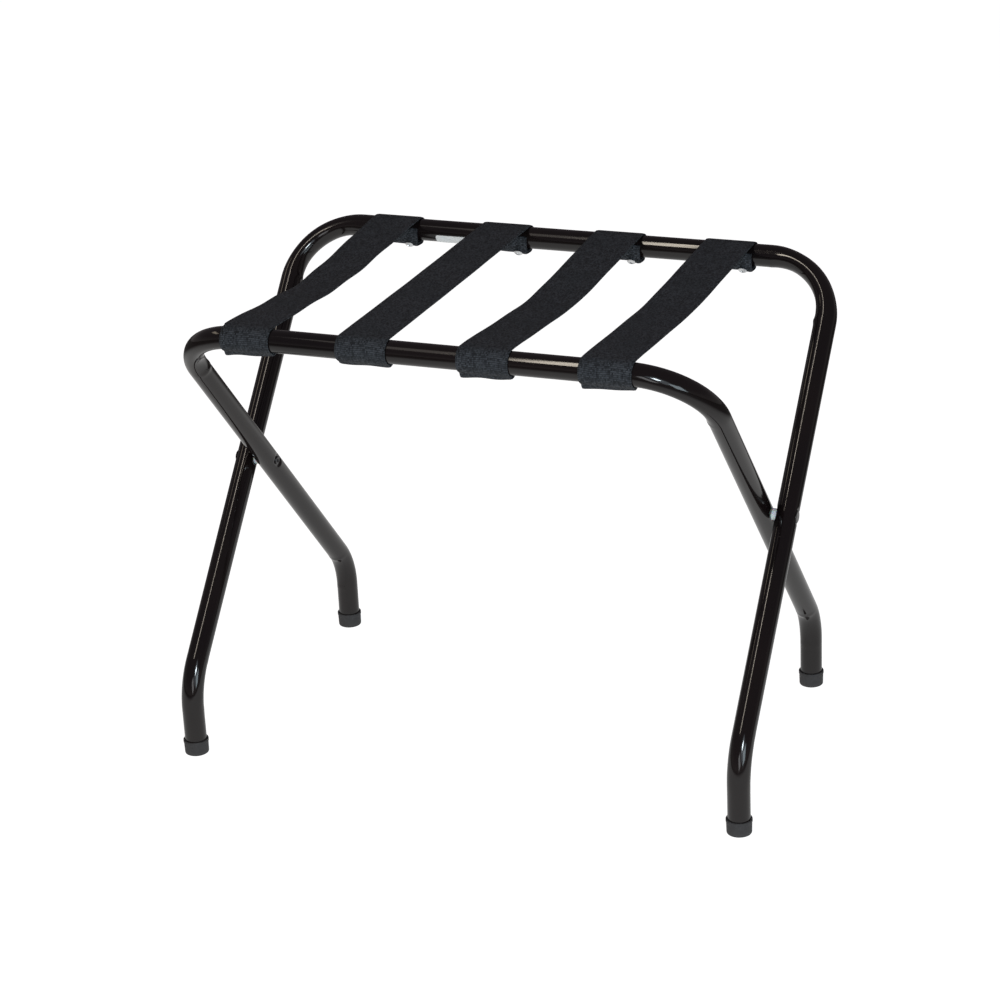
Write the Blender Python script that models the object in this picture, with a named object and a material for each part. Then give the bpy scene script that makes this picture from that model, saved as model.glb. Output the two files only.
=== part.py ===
"""Folding luggage rack: two crossed tube frames joined by two pivot rivets, with four webbing straps.

X runs along the rails (+X right), +Y goes to the back, +Z goes up, and the origin is on the floor under the
middle of the rack. The outer frame has its rail at the back and its feet at the front, and the inner frame is
the other way round. The inner frame folds about the pivot line, which runs along X at PIVOT_Z.
"""

import math

import bpy
import numpy as np

# ---- driving dimensions, in metres ----
TUBE_D = 0.0232
WALL = 0.0012
GAP = 0.0003
OUTER_HALF = 0.3003
INNER_HALF = 0.2752
RAIL_Y = 0.184
RAIL_Z = 0.478
PIVOT_Z = 0.2702
FOOT_CORNER_Z = 0.078
OUTER_CORNER_R = 0.068
INNER_CORNER_R = 0.073
FOOT_BEND_R = 0.0745
CORNER_SQUASH = 0.94

STRAP_W = 0.053
STRAP_T = 0.0018
REAR_MIDDLES = (-0.1890, -0.0628, 0.0644, 0.1862)
FRONT_MIDDLES = (-0.1908, -0.0663, 0.0600, 0.1837)
STRAP_SAGS = (0.011, 0.0, 0.011, 0.0075)
TAIL_ANGLE = 196.0
HEM_START_ANGLE = 70.0
HEM_T = 0.0039

SCREW_OFFSET = 0.017
SCREW_ANGLE = 135.0
SCREW_R = 0.0021
SCREW_HEAD_R = 0.0047
SCREW_HEAD_H = 0.0026
SCREW_LENGTH = 0.012

CAP_R = 0.0131
CAP_LIP_R = 0.0134
CAP_H = 0.016
CAP_BASE = 0.003

RIVET_R = 0.003
RIVET_HEAD_R = 0.0065
RIVET_HEAD_H = 0.0015
RIVET_TAIL_R = 0.0045
RIVET_TAIL_H = 0.0016
SPACER_R = 0.006

LABEL_X = -0.1215
LABEL_W = 0.040
LABEL_T = 0.0003

TUBE_R = TUBE_D / 2
LEAN = math.atan2(RAIL_Y, RAIL_Z - PIVOT_Z)
FOOT_Y = (PIVOT_Z - FOOT_CORNER_Z) * math.tan(LEAN)
TUBE_SEGMENTS = 20
CORNER_STEPS = 8
FOOT_BEND_STEPS = 4
CUTTER_SIDES = 12
SPAN_STATIONS = 17
HOLE_REACH = 0.004

for old in list(bpy.data.objects):
    bpy.data.objects.remove(old, do_unlink=True)


def material(name, colour, roughness, metallic=0.0):
    """One Principled material."""
    m = bpy.data.materials.new(name)
    m.use_nodes = True
    shader = m.node_tree.nodes["Principled BSDF"]
    shader.inputs["Base Color"].default_value = (*colour, 1.0)
    shader.inputs["Roughness"].default_value = roughness
    shader.inputs["Metallic"].default_value = metallic
    return m


def volume(points, faces):
    """The signed volume inside closed faces: positive when they point outward."""
    total = 0.0
    for face in faces:
        first = np.array(points[face[0]])
        for j in range(1, len(face) - 1):
            total += float(np.dot(first, np.cross(points[face[j]], points[face[j + 1]]))) / 6
    return total


def solid(name, points, faces, mat, smooth=True):
    """A closed mesh object with its faces pointing outward."""
    if volume(points, faces) < 0:
        faces = [tuple(reversed(f)) for f in faces]
    mesh = bpy.data.meshes.new(name)
    mesh.from_pydata([tuple(map(float, p)) for p in points], [], faces)
    mesh.update()
    mesh.materials.append(mat)
    mesh.polygons.foreach_set("use_smooth", [smooth] * len(mesh.polygons))
    ob = bpy.data.objects.new(name, mesh)
    bpy.context.scene.collection.objects.link(ob)
    return ob


def grid_faces(rows, columns, close_rows=True, close_columns=True, first=0):
    """Quads over a grid of points stored row by row."""
    faces = []
    for i in range(rows if close_rows else rows - 1):
        for j in range(columns if close_columns else columns - 1):
            a = first + i * columns + j
            b = first + i * columns + (j + 1) % columns
            c = first + ((i + 1) % rows) * columns + (j + 1) % columns
            d = first + ((i + 1) % rows) * columns + j
            faces.append((a, b, c, d))
    return faces


def arc(before, corner, after, radius, steps):
    """The points and tangents of a bend of a given radius at a corner."""
    u = (corner - before) / np.linalg.norm(corner - before)
    v = (after - corner) / np.linalg.norm(after - corner)
    turn = math.acos(float(np.clip(u @ v, -1, 1)))
    side = v - (v @ u) * u
    side = side / np.linalg.norm(side)
    start = corner - u * radius * math.tan(turn / 2)
    out = []
    for k in range(steps + 1):
        t = turn * k / steps
        point = start + u * radius * math.sin(t) + side * radius * (1 - math.cos(t))
        out.append((point, u * math.cos(t) + side * math.sin(t), k / steps))
    return out


def frame_stations(half, way, corner_r):
    """(centre, tangent, share through a corner bend) along a frame's tube, from its left foot to its right.

    The share is -1 away from the corner bends.
    """
    low = CAP_BASE + GAP
    feet = [np.array([s * half, -way * FOOT_Y, low]) for s in (-1, 1)]
    knees = [np.array([s * half, -way * FOOT_Y, FOOT_CORNER_Z]) for s in (-1, 1)]
    tops = [np.array([s * half, way * RAIL_Y, RAIL_Z]) for s in (-1, 1)]
    up = np.array([0.0, 0.0, 1.0])
    out = [(feet[0], up, -1)]
    out += [(p, t, -1) for p, t, k in arc(feet[0], knees[0], tops[0], FOOT_BEND_R, FOOT_BEND_STEPS)]
    out += arc(knees[0], tops[0], tops[1], corner_r, CORNER_STEPS)
    out += arc(tops[0], tops[1], knees[1], corner_r, CORNER_STEPS)
    out += [(p, t, -1) for p, t, k in arc(tops[1], knees[1], feet[1], FOOT_BEND_R, FOOT_BEND_STEPS)]
    out.append((feet[1], -up, -1))
    return out


def tube(name, half, way, corner_r, mat):
    """A bent tube, hollow from one open end to the other, a little flatter where its corners bend."""
    stations = frame_stations(half, way, corner_r)
    plane = np.array([0.0, math.cos(LEAN), -way * math.sin(LEAN)]) * way
    rows = []
    for radius in (TUBE_R, TUBE_R - WALL):
        ring_list = []
        for centre, tangent, share in stations:
            across = np.array([1.0, 0.0, 0.0]) if share < 0 else np.cross(tangent, plane)
            across = across / np.linalg.norm(across)
            if across @ np.array([0.0, 0.0, 1.0]) < -1e-9:
                across = -across
            other = np.cross(tangent, across)
            flat = 1.0 if share < 0 else 1 - (1 - CORNER_SQUASH) * math.sin(math.pi * share)
            ring_list.append((centre, across, other, flat, radius))
        rows.append(ring_list)
    # every ring starts on the same side of the tube, so that neighbouring rings don't twist
    points = []
    sheets = []
    for ring_list in rows:
        last = None
        for centre, across, other, flat, radius in ring_list:
            if last is not None and across @ last < 0:
                across = -across
                other = -other
            last = across
            for k in range(TUBE_SEGMENTS):
                a = 2 * math.pi * k / TUBE_SEGMENTS
                points.append(centre + radius * (flat * math.cos(a) * across + math.sin(a) * other))
        sheets.append(len(ring_list))
    n = sheets[0]
    outer = grid_faces(n, TUBE_SEGMENTS, close_rows=False)
    behind = grid_faces(n, TUBE_SEGMENTS, close_rows=False, first=n * TUBE_SEGMENTS)
    inner = [tuple(reversed(f)) for f in behind]
    ends = []
    for row, turned in ((0, False), (n - 1, True)):
        for j in range(TUBE_SEGMENTS):
            a = row * TUBE_SEGMENTS + j
            b = row * TUBE_SEGMENTS + (j + 1) % TUBE_SEGMENTS
            c = b + n * TUBE_SEGMENTS
            d = a + n * TUBE_SEGMENTS
            ends.append((a, b, c, d) if turned else (d, c, b, a))
    return solid(name, points, outer + inner + ends, mat)


def revolved(name, profile, segments, origin, axis, mat, smooth=True):
    """A closed solid of revolution. The profile is (distance along the axis, radius), from tip to tip."""
    axis = np.array(axis, dtype=float)
    axis = axis / np.linalg.norm(axis)
    helper = np.array([1.0, 0.0, 0.0]) if abs(axis[0]) < 0.9 else np.array([0.0, 0.0, 1.0])
    u = np.cross(axis, helper)
    u = u / np.linalg.norm(u)
    v = np.cross(axis, u)
    inner = profile[1:-1]
    points = []
    for along, radius in inner:
        for k in range(segments):
            a = 2 * math.pi * k / segments
            points.append(along * axis + radius * (math.cos(a) * u + math.sin(a) * v))
    first_tip = len(points)
    points.append(profile[0][0] * axis)
    points.append(profile[-1][0] * axis)
    faces = grid_faces(len(inner), segments, close_rows=False)
    last = (len(inner) - 1) * segments
    for k in range(segments):
        faces.append((first_tip, (k + 1) % segments, k))
        faces.append((first_tip + 1, last + k, last + (k + 1) % segments))
    ob = solid(name, points, faces, mat, smooth)
    ob.location = origin
    return ob


def cutter(name, spots):
    """Round cutters, each (start, end, radius), in one hidden object."""
    points = []
    faces = []
    for start, end, radius in spots:
        start = np.array(start, dtype=float)
        end = np.array(end, dtype=float)
        axis = (end - start) / np.linalg.norm(end - start)
        helper = np.array([1.0, 0.0, 0.0]) if abs(axis[0]) < 0.9 else np.array([0.0, 0.0, 1.0])
        u = np.cross(axis, helper)
        u = u / np.linalg.norm(u)
        v = np.cross(axis, u)
        first = len(points)
        for centre in (start, end):
            for k in range(CUTTER_SIDES):
                a = 2 * math.pi * (k + 0.5) / CUTTER_SIDES
                points.append(centre + radius * (math.cos(a) * u + math.sin(a) * v))
        faces += grid_faces(2, CUTTER_SIDES, close_rows=False, first=first)
        faces.append(tuple(first + k for k in reversed(range(CUTTER_SIDES))))
        faces.append(tuple(first + CUTTER_SIDES + k for k in range(CUTTER_SIDES)))
    ob = solid(name, points, faces, cutter_mat, smooth=False)
    ob.hide_render = True
    ob.display_type = "WIRE"
    return ob


def cut(ob, tool):
    """Cut the tool out of an object."""
    step = ob.modifiers.new("holes", "BOOLEAN")
    step.operation = "DIFFERENCE"
    step.solver = "EXACT"
    step.object = tool


def around_rail(way, angle, radius):
    """A point around a rail. Angle 0 is its outward side, 90 its top and 180 its inward side."""
    a = math.radians(angle)
    return np.array([way * (RAIL_Y + radius * math.cos(a)), RAIL_Z + radius * math.sin(a)])


cutter_mat = material("cutter", (0.8, 0.1, 0.1), 0.5)
steel_mat = material("gloss_black_enamel", (0.012, 0.011, 0.011), 0.12)
inner_steel_mat = material("gloss_black_enamel_inner", (0.012, 0.011, 0.011), 0.12)
rubber_mat = material("black_rubber", (0.02, 0.02, 0.021), 0.6)
rivet_mat = material("black_rivet", (0.03, 0.028, 0.028), 0.25, 0.6)
nylon_mat = material("white_nylon", (0.82, 0.86, 0.88), 0.4)
webbing_mat = material("black_webbing", (0.03, 0.032, 0.037), 0.85)
screw_mat = material("zinc_screw", (0.75, 0.76, 0.77), 0.25, 1.0)
label_mat = material("blank_label", (0.86, 0.88, 0.88), 0.5)

middles = {1: REAR_MIDDLES, -1: FRONT_MIDDLES}

# ---- the two frames ----
frames = (
    ("outer", OUTER_HALF, 1, OUTER_CORNER_R, steel_mat),
    ("inner", INNER_HALF, -1, INNER_CORNER_R, inner_steel_mat),
)
for name, half, way, corner_r, mat in frames:
    ob = tube(name + "_frame", half, way, corner_r, mat)
    spots = []
    for side in (-1, 1):
        reach = TUBE_R + HOLE_REACH
        low = (side * half - reach, 0.0, PIVOT_Z)
        high = (side * half + reach, 0.0, PIVOT_Z)
        spots.append((low, high, RIVET_R + GAP))
    for x in [m + side * SCREW_OFFSET for m in middles[way] for side in (-1, 1)]:
        near = around_rail(way, -SCREW_ANGLE, TUBE_R - WALL - 0.002)
        far = around_rail(way, -SCREW_ANGLE, TUBE_R + 0.003)
        spots.append(((x, *near), (x, *far), SCREW_R + GAP))
    cut(ob, cutter(name + "_frame_holes", spots))

# ---- foot caps ----
cap_profile = [
    (0.0, 0.0),
    (0.0, CAP_R - 0.001),
    (0.001, CAP_R),
    (CAP_H - 0.0022, CAP_R),
    (CAP_H - 0.0018, CAP_LIP_R),
    (CAP_H - 0.0003, CAP_LIP_R),
    (CAP_H, CAP_LIP_R - 0.0004),
    (CAP_H, TUBE_R + GAP),
    (CAP_BASE, TUBE_R + GAP),
    (CAP_BASE, 0.0),
]
for frame, half, way, corner_r, mat in frames:
    for side, hand in ((-1, "left"), (1, "right")):
        foot = (side * half, -way * FOOT_Y, 0.0)
        name = frame + "_foot_cap_" + hand
        revolved(name, cap_profile, TUBE_SEGMENTS, foot, (0, 0, 1), rubber_mat)

# ---- pivot rivets and spacers ----
shank_start = INNER_HALF - TUBE_R - GAP
shank_end = OUTER_HALF + TUBE_R + GAP
rivet_profile = [
    (shank_start + 0.004, 0.0),
    (shank_start + 0.004, 0.0014),
    (shank_start - RIVET_TAIL_H, 0.0018),
    (shank_start - RIVET_TAIL_H, RIVET_TAIL_R - 0.0012),
    (shank_start - RIVET_TAIL_H / 2, RIVET_TAIL_R),
    (shank_start, RIVET_TAIL_R - 0.0004),
    (shank_start, RIVET_R),
    (shank_end, RIVET_R),
    (shank_end, RIVET_HEAD_R),
    (shank_end + 0.0007, RIVET_HEAD_R),
    (shank_end + RIVET_HEAD_H * 0.75, RIVET_HEAD_R * 0.62),
    (shank_end + RIVET_HEAD_H, RIVET_HEAD_R * 0.2),
    (shank_end + RIVET_HEAD_H, 0.0),
]


def spacer(name, side):
    """A round spacer: hollowed to the outer leg's tube on one side, flat against the inner leg's on the other."""
    count = 20
    radii = (RIVET_R + GAP, 0.0042, 0.0051, SPACER_R)
    flat_x = INNER_HALF + TUBE_R + GAP
    along = np.array([-math.sin(LEAN), -math.cos(LEAN)])
    points = []
    for radius in radii:
        for k in range(count):
            a = 2 * math.pi * k / count
            points.append((side * flat_x, radius * math.cos(a), radius * math.sin(a)))
    for radius in reversed(radii):
        for k in range(count):
            a = 2 * math.pi * k / count
            spot = np.array([radius * math.cos(a), radius * math.sin(a)])
            off = spot - (spot @ along) * along
            depth = math.sqrt((TUBE_R + GAP) ** 2 - float(off @ off))
            points.append((side * (OUTER_HALF - depth), *spot))
    faces = grid_faces(8, count)
    ob = solid(name, points, faces, nylon_mat, smooth=False)
    ob.location = (0, 0, PIVOT_Z)
    return ob


for side, hand in ((-1, "left"), (1, "right")):
    revolved("pivot_rivet_" + hand, rivet_profile, 16, (0, 0, PIVOT_Z), (side, 0, 0), rivet_mat)
    spacer("pivot_spacer_" + hand, side)


# ---- straps: each is a free length between the rails and a wrap around each rail ----
def slab(name, path, stations, mat):
    """A band along a path in the YZ plane, given as (inner point, outer point) pairs.

    The stations across the band are (x, shift) pairs, the shift being a small move in the YZ plane.
    """
    points = []
    for inner, outer in path:
        for x, shift in stations:
            points.append((x, *(inner + shift)))
        for x, shift in reversed(stations):
            points.append((x, *(outer + shift)))
    n = len(path)
    m = 2 * len(stations)
    faces = grid_faces(n, m, close_rows=False)
    faces.append(tuple(reversed(range(m))))
    faces.append(tuple(m * (n - 1) + k for k in range(m)))
    return solid(name, points, faces, mat, smooth=False)


def straight(x, width):
    """The two stations of a flat band."""
    return [(x - width / 2, np.zeros(2)), (x + width / 2, np.zeros(2))]


def rail_shift(x, half, way, corner_r):
    """How far the tube's middle has moved from the straight rail's line at a place along it."""
    line = [c for c, t, share in frame_stations(half, way, corner_r) if share >= 0]
    xs = [p[0] for p in line]
    y = float(np.interp(x, xs, [p[1] for p in line]))
    z = float(np.interp(x, xs, [p[2] for p in line]))
    return np.array([y - way * RAIL_Y, z - RAIL_Z])


def on_rail(x, width, half, way, corner_r):
    """Stations of a band wrapped on a rail, which follow the tube where its corner bend begins."""
    bend = half - corner_r
    inside = {e for e in (-bend, bend) if abs(e - x) < width / 2 - 0.004}
    places = sorted({x - width / 2, x + width / 2} | inside)
    return [(place, rail_shift(place, half, way, corner_r)) for place in places]


def sag_shape(share):
    """How far a slack strap hangs at a share of the way from its middle (0) to a rail (1)."""
    soft = math.sqrt(share * share + 0.01) - 0.1
    line = 1 - soft / (math.sqrt(1.01) - 0.1)
    return line * (1 - share**6)


def span(name, rear_x, front_x, sag):
    """The free length of a strap between the tops of the two rails, hanging a little if it is slack."""
    end = RAIL_Y - GAP / 2
    points = []
    for y in np.linspace(-end, end, SPAN_STATIONS):
        share = (y + end) / (2 * end)
        middle = front_x + share * (rear_x - front_x)
        z = RAIL_Z + TUBE_R + GAP - sag * sag_shape(abs(y) / end)
        for px, pz in ((-1, 0), (1, 0), (1, STRAP_T), (-1, STRAP_T)):
            points.append((middle + px * STRAP_W / 2, y, z + pz))
    faces = grid_faces(SPAN_STATIONS, 4, close_rows=False)
    faces.append((3, 2, 1, 0))
    faces.append(tuple(4 * (SPAN_STATIONS - 1) + k for k in range(4)))
    return solid(name, points, faces, webbing_mat, smooth=False)


inner_r = TUBE_R + GAP
hem_r = inner_r + HEM_T
rails = (("rear", 1, OUTER_HALF, OUTER_CORNER_R), ("front", -1, INNER_HALF, INNER_CORNER_R))


def wrap_radius(angle):
    """The outside of a wrap: one layer of webbing round the rail, and two where its end is folded under."""
    share = min(max((-angle - HEM_START_ANGLE) / 15.0, 0.0), 1.0)
    return inner_r + STRAP_T + share * (HEM_T - STRAP_T)


for k, sag in enumerate(STRAP_SAGS):
    for rail, way, half, corner_r in rails:
        turns = np.linspace(90.0, -TAIL_ANGLE, 23)
        path = [(around_rail(way, t, inner_r), around_rail(way, t, wrap_radius(t))) for t in turns]
        middle = middles[way][k]
        across = on_rail(middle, STRAP_W, half, way, corner_r)
        clear = np.array([way * (GAP / 2 + max(abs(shift[0]) for place, shift in across)), 0.0])
        path[0] = (path[0][0] + clear, path[0][1] + clear)
        wrap = slab(f"strap_{k + 1}_{rail}_wrap", path, across, webbing_mat)
        spots = []
        for side in (-1, 1):
            near = around_rail(way, -SCREW_ANGLE, inner_r - 0.002)
            far = around_rail(way, -SCREW_ANGLE, hem_r + 0.002)
            sx = middle + side * SCREW_OFFSET
            spots.append(((sx, *near), (sx, *far), SCREW_R + GAP))
        cut(wrap, cutter(f"strap_{k + 1}_{rail}_holes", spots))
    span(f"strap_{k + 1}_span", REAR_MIDDLES[k], FRONT_MIDDLES[k], sag)

# ---- screws: two through each strap end into its rail ----
screw_profile = [
    (-SCREW_LENGTH, 0.0),
    (-SCREW_LENGTH, SCREW_R * 0.5),
    (-SCREW_LENGTH + 0.002, SCREW_R),
    (0.0, SCREW_R),
    (0.0, SCREW_HEAD_R),
    (0.0011, SCREW_HEAD_R),
    (SCREW_HEAD_H * 0.85, SCREW_HEAD_R * 0.65),
    (SCREW_HEAD_H, SCREW_HEAD_R * 0.25),
    (SCREW_HEAD_H, 0.0),
]
for k in range(4):
    for rail, way, half, corner_r in rails:
        for side, hand in ((-1, "a"), (1, "b")):
            seat = around_rail(way, -SCREW_ANGLE, hem_r + GAP)
            outward = seat - np.array([way * RAIL_Y, RAIL_Z])
            name = f"strap_{k + 1}_{rail}_screw_{hand}"
            sx = middles[way][k] + side * SCREW_OFFSET
            edge = rail_shift(sx + side * SCREW_HEAD_R, half, way, corner_r)
            place = (sx, *(seat + edge))
            revolved(name, screw_profile, 12, place, (0.0, *outward), screw_mat)

# ---- blank label low on the inward side of the rear rail ----
turns = np.linspace(-95.0, -175.0, 9)
path = [(around_rail(1, t, TUBE_R + GAP), around_rail(1, t, TUBE_R + GAP + LABEL_T)) for t in turns]
slab("label", path, straight(LABEL_X, LABEL_W), label_mat)
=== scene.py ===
# %% [markdown]
# # A folding luggage rack
# A luggage rack is two bent steel tubes that cross like scissors on a pair of rivets, and four
# lengths of webbing that stop them from opening any further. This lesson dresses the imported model
# of one: the engineering model comes in first as a fixed frame, and every new piece is worked out
# around it, in metres and in the same place.

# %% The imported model
import math

import bmesh
import bpy
import numpy as np
from mathutils import Matrix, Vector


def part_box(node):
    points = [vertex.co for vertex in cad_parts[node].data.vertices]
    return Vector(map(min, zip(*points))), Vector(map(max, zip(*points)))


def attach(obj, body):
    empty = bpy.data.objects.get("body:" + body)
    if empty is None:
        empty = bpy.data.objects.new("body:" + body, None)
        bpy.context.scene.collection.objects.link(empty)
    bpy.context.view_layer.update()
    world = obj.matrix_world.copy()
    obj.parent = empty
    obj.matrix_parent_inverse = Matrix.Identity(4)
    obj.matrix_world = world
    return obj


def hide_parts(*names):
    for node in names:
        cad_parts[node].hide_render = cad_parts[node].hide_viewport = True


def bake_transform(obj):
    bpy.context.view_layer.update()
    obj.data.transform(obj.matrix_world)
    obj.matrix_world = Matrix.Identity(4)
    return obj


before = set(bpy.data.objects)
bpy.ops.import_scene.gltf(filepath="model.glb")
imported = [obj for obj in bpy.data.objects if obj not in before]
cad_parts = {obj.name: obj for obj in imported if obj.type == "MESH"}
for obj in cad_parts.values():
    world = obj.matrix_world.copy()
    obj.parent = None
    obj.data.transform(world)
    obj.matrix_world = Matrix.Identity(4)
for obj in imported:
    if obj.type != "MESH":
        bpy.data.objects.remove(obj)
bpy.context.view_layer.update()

# %% [markdown]
# ## What the frame tells us
# Nothing needs measuring twice. The box round a CAD tube gives its half width and its rail's place,
# the foot caps give where it stands, and the rivets give the height that it turns at. The lean of
# the legs follows from those. We could type the numbers in again, but then a change in the CAD
# would leave the looks behind.

# %% Read the main sizes from the frame
WALL = 0.0012


def middle_of(node):
    """The middle of a node's box."""
    low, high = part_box(node)
    return (np.array(low) + np.array(high)) / 2


outer_low, outer_high = map(np.array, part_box("outer_frame"))
inner_low, inner_high = map(np.array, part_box("inner_frame"))
OUTER_HALF = middle_of("outer_foot_cap_right")[0]
TUBE_R = float(outer_high[0] - OUTER_HALF)
INNER_HALF = inner_high[0] - TUBE_R
RAIL_Y = outer_high[1] - TUBE_R
RAIL_Z = outer_high[2] - TUBE_R
PIVOT_Z = middle_of("pivot_spacer_left")[2]
FOOT_Y = middle_of("inner_foot_cap_left")[1]
LEAN = math.atan2(RAIL_Y, RAIL_Z - PIVOT_Z)
KNEE_Z = PIVOT_Z - FOOT_Y / math.tan(LEAN)
FOOT_LOW = outer_low[2]
print(f"tube {2000 * TUBE_R:.1f} mm, legs lean {math.degrees(LEAN):.1f} degrees")
print(f"feet {1000 * FOOT_Y:.0f} mm out from the middle")

# %% [markdown]
# ## From arrays to meshes
# Every surface here is a grid: a function turns two parameters into points, all at once, and the
# grid's faces only depend on how many rows and columns it has. Box modelling could give the same
# shapes, but a formula keeps its exact size and can be made finer by changing one number.


# %% Grids and meshes
def grid_faces(rows, columns, close_columns=True, first=0):
    """The four-sided faces of a grid of points, whose columns may join up into a ring."""
    steps_across = columns if close_columns else columns - 1
    i, j = np.meshgrid(np.arange(rows - 1), np.arange(steps_across), indexing="ij")
    a = i * columns + j
    b = i * columns + (j + 1) % columns
    faces = np.stack([a, b, b + columns, a + columns], axis=-1).reshape(-1, 4)
    return faces + first


def mesh_piece(name, points, faces, uv=None, smooth_angle=None):
    """A mesh object at the origin from arrays of points and faces. uv gives a pair for each point."""
    mesh = bpy.data.meshes.new(name)
    mesh.from_pydata(np.asarray(points, dtype=float).tolist(), [], np.asarray(faces).tolist())
    mesh.update()
    if uv is not None:
        corners = np.empty(len(mesh.loops), dtype=np.int32)
        mesh.loops.foreach_get("vertex_index", corners)
        layer = mesh.uv_layers.new(name="flat")
        layer.data.foreach_set("uv", np.asarray(uv, dtype=np.float32)[corners].ravel())
    mesh.polygons.foreach_set("use_smooth", np.ones(len(mesh.polygons), dtype=bool))
    if smooth_angle is not None:
        mesh.set_sharp_from_angle(angle=math.radians(smooth_angle))
    piece = bpy.data.objects.new(name, mesh)
    bpy.context.scene.collection.objects.link(piece)
    return piece


def unit(v):
    """Vectors brought to length one."""
    return v / np.linalg.norm(v, axis=-1, keepdims=True)


def smooth_step(x, low, high):
    """0 below low, 1 above high, and the curve 3t^2 - 2t^3 between them."""
    t = np.clip((x - low) / (high - low), 0, 1)
    return t * t * (3 - 2 * t)


print("helpers ready")

# %% [markdown]
# ## Shader building blocks
# A finish is a Principled shader and a few patterns that vary its colour, its roughness and its
# small relief. The patterns that more than one finish needs are node groups: grain is the fine
# unevenness of a sprayed or moulded skin, and wear is the sparse marks that handling leaves. Their
# numbers that are the same all over are set on the sockets, so each material can have its own.


# %% Helpers for nodes
class Nodes:
    """A node tree that is filled from left to right."""

    def __init__(self, tree):
        self.tree = tree
        self.column = 0

    def add(self, kind, inputs=None, **settings):
        """A node with its settings, and its inputs given as values or as other nodes' outputs."""
        node = self.tree.nodes.new(kind)
        node.location = (self.column * 190, -(self.column % 3) * 160)
        self.column += 1
        for key, value in settings.items():
            setattr(node, key, value)
        for key, value in (inputs or {}).items():
            socket = node.inputs[key]
            if isinstance(value, bpy.types.NodeSocket):
                self.tree.links.new(value, socket)
            else:
                socket.default_value = value
        return node

    def math(self, operation, *values, clamp=False):
        """One math node, with as many values as its operation takes."""
        inputs = dict(enumerate(values))
        return self.add("ShaderNodeMath", inputs, operation=operation, use_clamp=clamp).outputs[0]

    def ramp(self, value, low, high, out_low=0.0, out_high=1.0):
        """A value carried from one range to another, with soft ends."""
        inputs = {"Value": value, "From Min": low, "From Max": high, "To Min": out_low, "To Max": out_high}
        return self.add("ShaderNodeMapRange", inputs, interpolation_type="SMOOTHSTEP").outputs["Result"]

    def noise(self, vector, scale, detail=2.0, roughness=0.5, distortion=0.0):
        """A three-dimensional noise, from 0 to 1."""
        inputs = {"Vector": vector, "Scale": scale, "Detail": detail}
        inputs.update({"Roughness": roughness, "Distortion": distortion})
        return self.add("ShaderNodeTexNoise", inputs).outputs["Fac"]

    def blend_colours(self, share, first, second):
        """Two colours mixed by a share."""
        node = self.add("ShaderNodeMix", data_type="RGBA")
        for key, value in ((0, share), (6, first), (7, second)):
            if isinstance(value, bpy.types.NodeSocket):
                self.tree.links.new(value, node.inputs[key])
            else:
                node.inputs[key].default_value = value
        return node.outputs[2]


def group(name, inputs, outputs):
    """A shader node group with float or vector inputs, and its nodes, input and output."""
    tree = bpy.data.node_groups.new(name, "ShaderNodeTree")
    for label, kind, value in inputs:
        socket = tree.interface.new_socket(name=label, in_out="INPUT", socket_type="NodeSocket" + kind)
        if value is not None:
            socket.default_value = value
    for label, kind in outputs:
        tree.interface.new_socket(name=label, in_out="OUTPUT", socket_type="NodeSocket" + kind)
    nodes = Nodes(tree)
    return tree, nodes, nodes.add("NodeGroupInput").outputs, nodes.add("NodeGroupOutput").inputs


def material(name, **shader_values):
    """A material with its Principled shader set, and its nodes."""
    mat = bpy.data.materials.new(name)
    mat.use_nodes = True
    shader = mat.node_tree.nodes["Principled BSDF"]
    for key, value in shader_values.items():
        shader.inputs[key.replace("_", " ")].default_value = value
    return mat, Nodes(mat.node_tree), shader


# %% The grain and wear groups
inputs = [("Vector", "Vector", None), ("Scale", "Float", 400.0), ("Pits", "Float", 0.3)]
grain_group, n, gin, gout = group("grain", inputs, [("Height", "Float"), ("Mottle", "Float")])
fine = n.noise(gin["Vector"], gin["Scale"], 3.0, 0.55)
broad = n.noise(gin["Vector"], n.math("MULTIPLY", gin["Scale"], 0.11), 2.0, 0.5)
pitted = n.math("MULTIPLY", n.ramp(fine, 0.62, 0.78), gin["Pits"])
height = n.math("SUBTRACT", n.math("ADD", fine, n.math("MULTIPLY", broad, 0.8)), pitted)
n.tree.links.new(height, gout["Height"])
n.tree.links.new(n.ramp(broad, 0.3, 0.7), gout["Mottle"])

inputs = [("Vector", "Vector", None), ("Scale", "Float", 60.0), ("Amount", "Float", 0.4)]
wear_group, n, gin, gout = group("wear", inputs, [("Mask", "Float"), ("Scratch", "Float")])
patches = n.noise(gin["Vector"], gin["Scale"], 6.0, 0.7, 0.3)
edge = n.math("SUBTRACT", 0.86, n.math("MULTIPLY", gin["Amount"], 0.3))
mask = n.ramp(patches, edge, n.math("ADD", edge, 0.06))
stretch = n.add("ShaderNodeMapping", {"Vector": gin["Vector"], "Scale": (1.0, 9.0, 7.0)}).outputs[0]
lines = n.noise(stretch, n.math("MULTIPLY", gin["Scale"], 2.0), 4.0, 0.75, 1.2)
scratch = n.math("MULTIPLY", n.ramp(lines, 0.66, 0.72), n.ramp(patches, 0.5, 0.62))
n.tree.links.new(mask, gout["Mask"])
n.tree.links.new(scratch, gout["Scratch"])
print("groups:", [g.name for g in bpy.data.node_groups])


# %% Use a group in a material
def use_group(nodes, tree, **values):
    """A group placed in a material, with its own values."""
    node = nodes.add("ShaderNodeGroup", node_tree=tree)
    for key, value in values.items():
        if isinstance(value, bpy.types.NodeSocket):
            nodes.tree.links.new(value, node.inputs[key])
        else:
            node.inputs[key].default_value = value
    return node.outputs


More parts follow.
